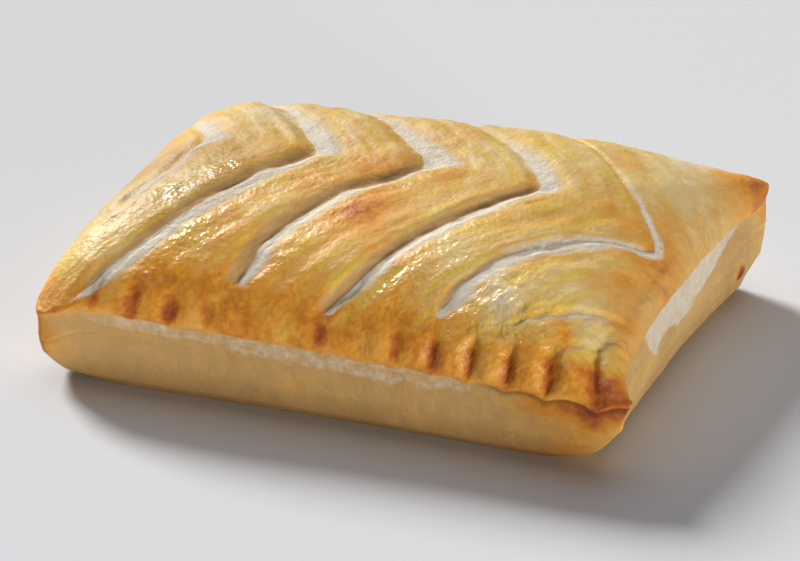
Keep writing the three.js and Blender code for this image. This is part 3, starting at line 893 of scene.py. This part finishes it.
    def bake(self):
        """How brown, floury, toasted and glossy each point is, where sheen and shade are painted on it, and
        where the layers show
        """
        self.front = smoothstep(*FRONT_ZONE, self.v)
        self.backward = smoothstep(*BACK_ZONE, self.v)
        self.end = smoothstep(*END_ZONE, self.u)
        self.patch = noise_field(self.places, PATCH_SIZE, seed=5)
        lid = self.lid_finish()
        side = self.side_finish()
        for name in lid:
            add_attribute(self.mesh, name, np.where(self.along <= LID_RINGS, lid[name], side[name]))
        add_attribute(self.mesh, "layered", self.lid * self.wall)

    def lid_finish(self):
        """What the lid is like: egg-washed, floury in the slashes with a little painted sheen among its
        flour, dry and toasted on the slash walls, and greyed by painted shade
        """
        away = smoothstep(*AWAY_ZONE, self.y)
        end_toast = END_TOAST * smoothstep(*END_TOAST_ZONE, self.u)
        end_toast *= (1 - END_TOAST_EASED * self.backward) * (1 - self.front)
        toasted = np.maximum(smoothstep(*WALL_TOAST_ZONE, self.wall) * (1 - away), end_toast)
        dust_and_sheen = BACK_FLOUR * smoothstep(*BACK_FLOUR_ZONE, self.y) * (1 - self.end)
        dust_and_sheen += marked(self.x, self.y, DUSTING_AND_SHEEN)
        gloss = np.clip(LID_GLOSS + BROW_GLOSS * self.brow + marked(self.x, self.y, GLOSS), 0, 1)
        gloss *= 1 - END_DULLNESS * smoothstep(*END_DULL_ZONE, self.u) * (1 - self.front)
        gloss *= 1 - np.maximum(self.bare, TOAST_DULLNESS * toasted)
        return {
            "doneness": self.lid_done(away),
            "flour_and_sheen": np.maximum(self.bare, dust_and_sheen),
            "toasted": toasted,
            "glaze": gloss,
            "shade": self.lid_shade(),
        }

    def lid_done(self, away):
        """How done the lid is, from its zones, its marks, its crimps and its slashes"""
        streak = noise_field(self.grain_lid * np.array([1, STREAK_GRAIN, 1]), STREAK_SIZE, seed=9)
        rightward = smoothstep(*RIGHT_ZONE, self.x)
        done = LID_DONE + FRONT_DONE * self.front * (1 - FRONT_EASED * rightward)
        done += blend(EDGE_DONE_LEFT, EDGE_DONE_RIGHT, rightward) * smoothstep(*EDGE_ZONE, self.v)
        done += CROWN_DONE * smoothstep(*CROWN_ZONE, self.y) + BACK_DONE * self.backward + END_DONE * self.end
        done += PATCH_DONE * self.patch + STREAK_DONE * streak + marked(self.x, self.y, BROWNING)
        done += CRIMP_DONE * smoothstep(*CRIMP_DONE_ZONE, self.press)
        done += HARD_CRIMP_DONE * smoothstep(*HARD_CRIMP_ZONE, self.press)
        done += WALL_DONE * self.wall * away + DEEP_DONE * smoothstep(*DEEP_ZONE, self.depth)
        return np.minimum(done, MOST_DONE)

    def lid_shade(self):
        """How much painted shade greys the lid"""
        back = BACK_SHADE * smoothstep(*BACK_SHADE_ZONE, self.y) * (1 - smoothstep(*BACK_SHADE_END, self.u))
        back *= 1 - BACK_SHADE_EASED * smoothstep(*BACK_SHADE_EASING, self.x)
        back *= 1 - FLOOR_SHADE_EASED * self.bare
        left = LEFT_SHADE * smoothstep(*LEFT_SHADE_ALONG, self.u) * smoothstep(*LEFT_SHADE_OPENING, self.y)
        left *= 1 - smoothstep(*LEFT_SHADE_CLOSING, self.y)
        # A band along the front keeps less of the painted shade, so that it stands out brighter as a painted
        # sheen
        painted_sheen_band = smoothstep(*BRIGHT_OPENING, self.v) * (1 - smoothstep(*BRIGHT_CLOSING, self.v))
        return back + left + LID_SHADE * (1 - painted_sheen_band * (1 - self.end))

    def side_finish(self):
        """What the side is like, summed up from all that worked on it"""
        u, v, below = self.u, self.v, self.below
        front_face = smoothstep(*FRONT_FACE, v)
        lip = smoothstep(*LIP_ALONG, self.x) * front_face
        folded = lip * smoothstep(*FOLD_ALONG, self.x) * (1 - smoothstep(*FOLD_BELOW, below))
        ear = (np.clip(u, 0, 1) * np.clip(v, 0, 1)) ** CORNER_SHARPNESS * (1 - smoothstep(*EAR_BELOW, below))
        influences = (
            (1, SIDE_LEVEL),
            (self.patch, PATCHES),
            (noise_field(self.grain_side, SMEAR_SIZE, seed=12), SMEARS),
            (np.abs(u * v) ** CORNER_SHARPNESS, CORNERS),
            (smoothstep(*CAUGHT_ALONG, u) * front_face, CAUGHT_AND_SHADED_FRONT),
            (ear, EAR_TIP),
            (folded, FOLDED_LIP),
            (self.bead, BURNT_BEAD),
            (self.end * (1 - folded), RIGHT_END),
            (self.end * smoothstep(*END_BACK_ZONE, v), END_BACK),
            (lip * smoothstep(*SHADOW_LINE_OPENING, below) * (1 - smoothstep(*SHADOW_LINE_CLOSING, below)), LIP_SHADOW_LINE),
            (smoothstep(*FOOT_RINGS, self.along) * (1 - FOOT_EASED * self.end), PAINTED_FOOT_SHADE),
        )
        kinds = range(len(Influence._fields))
        done, toasted, shade = (sum(amount * adds[kind] for amount, adds in influences) for kind in kinds)
        return {
            "doneness": done,
            "flour_and_sheen": self.paleness,
            "toasted": toasted,
            "glaze": SIDE_GLOSS + BEAD_GLOSS * self.bead,
            "shade": shade,
        }


class Nodes:
    """Short-hand for adding and linking the nodes of a material"""

    def __init__(self, tree):
        self.tree = tree

    def add(self, kind, inputs=None, **settings):
        node = self.tree.nodes.new(kind)
        for name, value in settings.items():
            setattr(node, name, value)
        for name, value in (inputs or {}).items():
            self.feed(node.inputs[name], value)
        return node

    def feed(self, socket, value):
        if isinstance(value, bpy.types.NodeSocket):
            self.tree.links.new(value, socket)
        else:
            socket.default_value = value

    def attribute(self, name, output="Fac"):
        return self.add("ShaderNodeAttribute", attribute_name=name).outputs[output]

    def maths(self, operation, first, second):
        node = self.add("ShaderNodeMath", {0: first, 1: second}, operation=operation)
        return node.outputs[0]

    def sway(self, value, amount):
        """A noise value, centred on nought and scaled"""
        return self.maths("MULTIPLY", self.maths("SUBTRACT", value, 0.5), amount)

    def total(self, *values):
        result = values[0]
        for value in values[1:]:
            result = self.maths("ADD", result, value)
        return result

    def mottle(self, place, size, detail=2):
        settings = {"Vector": place, "Scale": 1 / size, "Detail": detail}
        return self.add("ShaderNodeTexNoise", settings).outputs["Fac"]

    def span(self, value, low, high, to_low=0.0, to_high=1.0):
        settings = {"Value": value, "From Min": low, "From Max": high, "To Min": to_low, "To Max": to_high}
        return self.add("ShaderNodeMapRange", settings).outputs["Result"]

    def mix(self, share, first, second, kind="MIX"):
        node = self.add("ShaderNodeMix", data_type="RGBA", blend_type=kind)
        factor, colour_a, colour_b = node.inputs[0], node.inputs[6], node.inputs[7]
        self.feed(factor, share)
        self.feed(colour_a, first)
        self.feed(colour_b, second)
        return node.outputs[2]

    def ramp(self, value, stops):
        node = self.add("ShaderNodeValToRGB", {"Fac": value})
        points = node.color_ramp.elements
        points[0].position, points[0].color = stops[0]
        points[1].position, points[1].color = stops[-1]
        for position, colour in stops[1:-1]:
            points.new(position).color = colour
        return node.outputs["Color"]


Grain = namedtuple("Grain", "blotch fleck pimple flake egg")


def pastry_grain(nodes):
    """Noise at the sizes of the pastry's features; flakes and egg wash follow the layers"""
    place = nodes.add("ShaderNodeTexCoord").outputs["Object"]
    layers = nodes.attribute("grain", "Vector")
    return Grain(
        blotch=nodes.mottle(place, BLOTCH_SIZE, BLOTCH_DETAIL),
        fleck=nodes.mottle(place, FLECK_SIZE),
        pimple=nodes.mottle(place, PIMPLE_SIZE, PIMPLE_DETAIL),
        flake=nodes.mottle(layers, FLAKE_SIZE),
        egg=nodes.mottle(layers, EGG_SIZE),
    )


def crust_colour(nodes, grain, glaze, colours):
    """Egg-washed crust from straw to burnt, with streaks of yolk, and toasted layers in the slash walls"""
    variety = nodes.total(
        nodes.sway(grain.blotch, BLOTCH_VARIETY),
        nodes.sway(grain.fleck, FLECK_VARIETY),
        nodes.sway(grain.pimple, PIMPLE_VARIETY),
    )
    baked = nodes.total(nodes.attribute("doneness"), variety)
    crust = nodes.ramp(
        baked,
        (
            (0, (*colours.straw, 1)),
            (GOLD_AT, (*colours.gold, 1)),
            (AMBER_AT, (*colours.amber, 1)),
            (BROWN_AT, (*colours.brown, 1)),
            (1, (*colours.burnt, 1)),
        ),
    )
    streaks = nodes.span(grain.egg, *EGG_ZONE, 0, EGG_SHARE)
    yolky = nodes.maths("MULTIPLY", streaks, nodes.span(glaze, *EGG_GLAZE))
    yolky = nodes.maths("MULTIPLY", yolky, nodes.span(baked, *EGG_BROWNING, 1, 0))
    crust = nodes.mix(yolky, crust, (*colours.yolk, 1))
    flakes = nodes.sway(grain.flake, TOAST_FLAKES)
    toasted = nodes.total(nodes.attribute("toasted"), flakes, nodes.sway(grain.fleck, TOAST_FLECKS))
    layers = nodes.maths("MULTIPLY", nodes.span(grain.flake, *LAYER_ZONE), nodes.attribute("layered"))
    layered = nodes.mix(layers, (*colours.tan, 1), (*colours.toast, 1))
    return nodes.mix(nodes.span(toasted, *TOAST_ZONE), crust, layered)


def pastry_material(colours):
    """Baked pastry: crust, flour with a little painted sheen, and painted shade, with a dull or an egg-washed
    surface and fine bubbles
    """
    material = bpy.data.materials.new("baked_pastry")
    material.use_nodes = True
    nodes = Nodes(material.node_tree)
    shader = material.node_tree.nodes["Principled BSDF"]
    grain = pastry_grain(nodes)
    glaze = nodes.attribute("glaze")

    # Flour, whose cream also paints a sheen in a few places on the lid
    flakes = nodes.sway(grain.flake, FLOUR_FLAKES)
    flour_and_sheen = nodes.total(nodes.attribute("flour_and_sheen"), flakes, nodes.sway(grain.fleck, FLOUR_FLECKS))
    flour_and_sheen = nodes.span(flour_and_sheen, *FLOUR_ZONE)
    tan = nodes.span(grain.flake, *FLOUR_TAN_ZONE, 0, FLOUR_TAN)
    flour = nodes.mix(tan, (*colours.cream, 1), (*colours.tan, 1))
    colour = nodes.mix(flour_and_sheen, crust_colour(nodes, grain, glaze, colours), flour)
    # Painted shade: the colour is darkened towards the tint of painted shade as far as its attribute says
    shade = nodes.mix(nodes.attribute("shade"), (1, 1, 1, 1), (*colours.shade, 1))
    nodes.feed(shader.inputs["Base Color"], nodes.mix(1, colour, shade, "MULTIPLY"))

    gloss = nodes.maths("MULTIPLY", glaze, nodes.span(flour_and_sheen, 0, 1, 1, 0))
    nodes.feed(shader.inputs["Roughness"], nodes.span(gloss, 0, 1, DULL_ROUGHNESS, GLAZED_ROUGHNESS))
    shader.inputs["Specular IOR Level"].default_value = SPECULAR_LEVEL
    shader.inputs["Subsurface Weight"].default_value = SOFTNESS
    shader.inputs["Subsurface Scale"].default_value = SOFTNESS_DEPTH
    shader.inputs["Subsurface Radius"].default_value = SOFTNESS_TINT
    bubbly = nodes.maths("MAXIMUM", nodes.span(glaze, 0, 1, BUBBLE_DRY, BUBBLE_GLAZED), flour_and_sheen)
    relief = nodes.total(
        nodes.maths("MULTIPLY", grain.fleck, FLECK_RELIEF),
        nodes.maths("MULTIPLY", grain.flake, FLAKE_RELIEF),
        nodes.maths("MULTIPLY", grain.pimple, bubbly),
    )
    bump = nodes.add("ShaderNodeBump", {"Height": relief, "Strength": BUMP_STRENGTH, "Distance": BUMP_HEIGHT})
    nodes.feed(shader.inputs["Normal"], bump.outputs["Normal"])
    return material


def add_floor(scene, colour):
    mesh = bpy.data.meshes.new("floor")
    plane = bmesh.new()
    bmesh.ops.create_grid(plane, x_segments=1, y_segments=1, size=FLOOR_HALF)
    plane.to_mesh(mesh)
    plane.free()
    material = bpy.data.materials.new("floor")
    material.use_nodes = True
    inputs = material.node_tree.nodes["Principled BSDF"].inputs
    inputs["Base Color"].default_value = (*colour, 1)
    inputs["Roughness"].default_value = FLOOR_ROUGHNESS
    mesh.materials.append(material)
    floor = bpy.data.objects.new("floor", mesh)
    scene.collection.objects.link(floor)


def add_lights(scene):
    """A faint white world and the suns"""
    scene.world = bpy.data.worlds.new("studio")
    scene.world.use_nodes = True
    inputs = scene.world.node_tree.nodes["Background"].inputs
    inputs["Color"].default_value = (1, 1, 1, 1)
    inputs["Strength"].default_value = WORLD_STRENGTH
    for sun in SUNS:
        lamp = bpy.data.lights.new(sun.name, "SUN")
        lamp.energy = sun.strength
        lamp.color = sun.colour
        lamp.angle = sun.angle
        light = bpy.data.objects.new(sun.name, lamp)
        light.rotation_euler = Vector(sun.toward).to_track_quat("Z", "Y").to_euler()
        scene.collection.objects.link(light)


def add_camera(scene, studio):
    """A long lens, turned round the bake and raised by the studio's angles"""
    back = Vector(
        (
            math.sin(studio.azimuth) * math.cos(studio.elevation),
            -math.cos(studio.azimuth) * math.cos(studio.elevation),
            math.sin(studio.elevation),
        )
    )
    lens = bpy.data.cameras.new("camera")
    lens.sensor_width = SENSOR_MM
    lens.lens = LENS_MM
    camera = bpy.data.objects.new("camera", lens)
    target = Vector(TARGET) - Vector((*plan_middle(), 0))
    camera.location = target + back * studio.distance
    camera.rotation_euler = back.to_track_quat("Z", "Y").to_euler()
    scene.collection.objects.link(camera)
    scene.camera = camera


class BAKE_OT_pastry(bpy.types.Operator):
    """Form the pastry of the bake"""

    bl_idname = "bake.pastry"
    bl_label = "Form the pastry"

    def execute(self, context):
        mesh = Pastry(context.scene.bake_shape).mesh
        mesh.shade_smooth()
        mesh.materials.append(pastry_material(context.scene.bake_colours))
        pastry = bpy.data.objects.new("bake_pastry", mesh)
        context.scene.collection.objects.link(pastry)
        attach(pastry, BODY)
        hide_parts(NODE)
        return {"FINISHED"}


class BAKE_OT_studio(bpy.types.Operator):
    """Set the floor, the lights and the camera"""

    bl_idname = "bake.studio"
    bl_label = "Set the studio"

    def execute(self, context):
        scene = context.scene
        scene.view_settings.view_transform = "Standard"
        add_floor(scene, scene.bake_studio.floor)
        add_lights(scene)
        add_camera(scene, scene.bake_studio)
        return {"FINISHED"}


class BAKE_PT_panel(bpy.types.Panel):
    """Lists the bake's sizes, colours and steps"""

    bl_label = "Bake"
    bl_idname = "BAKE_PT_panel"
    bl_space_type = "VIEW_3D"
    bl_region_type = "UI"
    bl_category = "Bake"

    def draw(self, context):
        scene = context.scene
        for group in (scene.bake_shape, scene.bake_colours, scene.bake_studio):
            for name in type(group).__annotations__:
                self.layout.prop(group, name)
        for operator in (BAKE_OT_pastry, BAKE_OT_studio):
            self.layout.operator(operator.bl_idname)


CLASSES = (BakeShape, BakeColours, BakeStudio, BAKE_OT_pastry, BAKE_OT_studio, BAKE_PT_panel)


def register():
    for entry in CLASSES:
        bpy.utils.register_class(entry)
    bpy.types.Scene.bake_shape = PointerProperty(type=BakeShape)
    bpy.types.Scene.bake_colours = PointerProperty(type=BakeColours)
    bpy.types.Scene.bake_studio = PointerProperty(type=BakeStudio)


def unregister():
    del bpy.types.Scene.bake_studio
    del bpy.types.Scene.bake_colours
    del bpy.types.Scene.bake_shape
    for entry in reversed(CLASSES):
        bpy.utils.unregister_class(entry)


def main():
    register()
    bpy.ops.bake.pastry()
    bpy.ops.bake.studio()


if __name__ == "__main__":
    main()
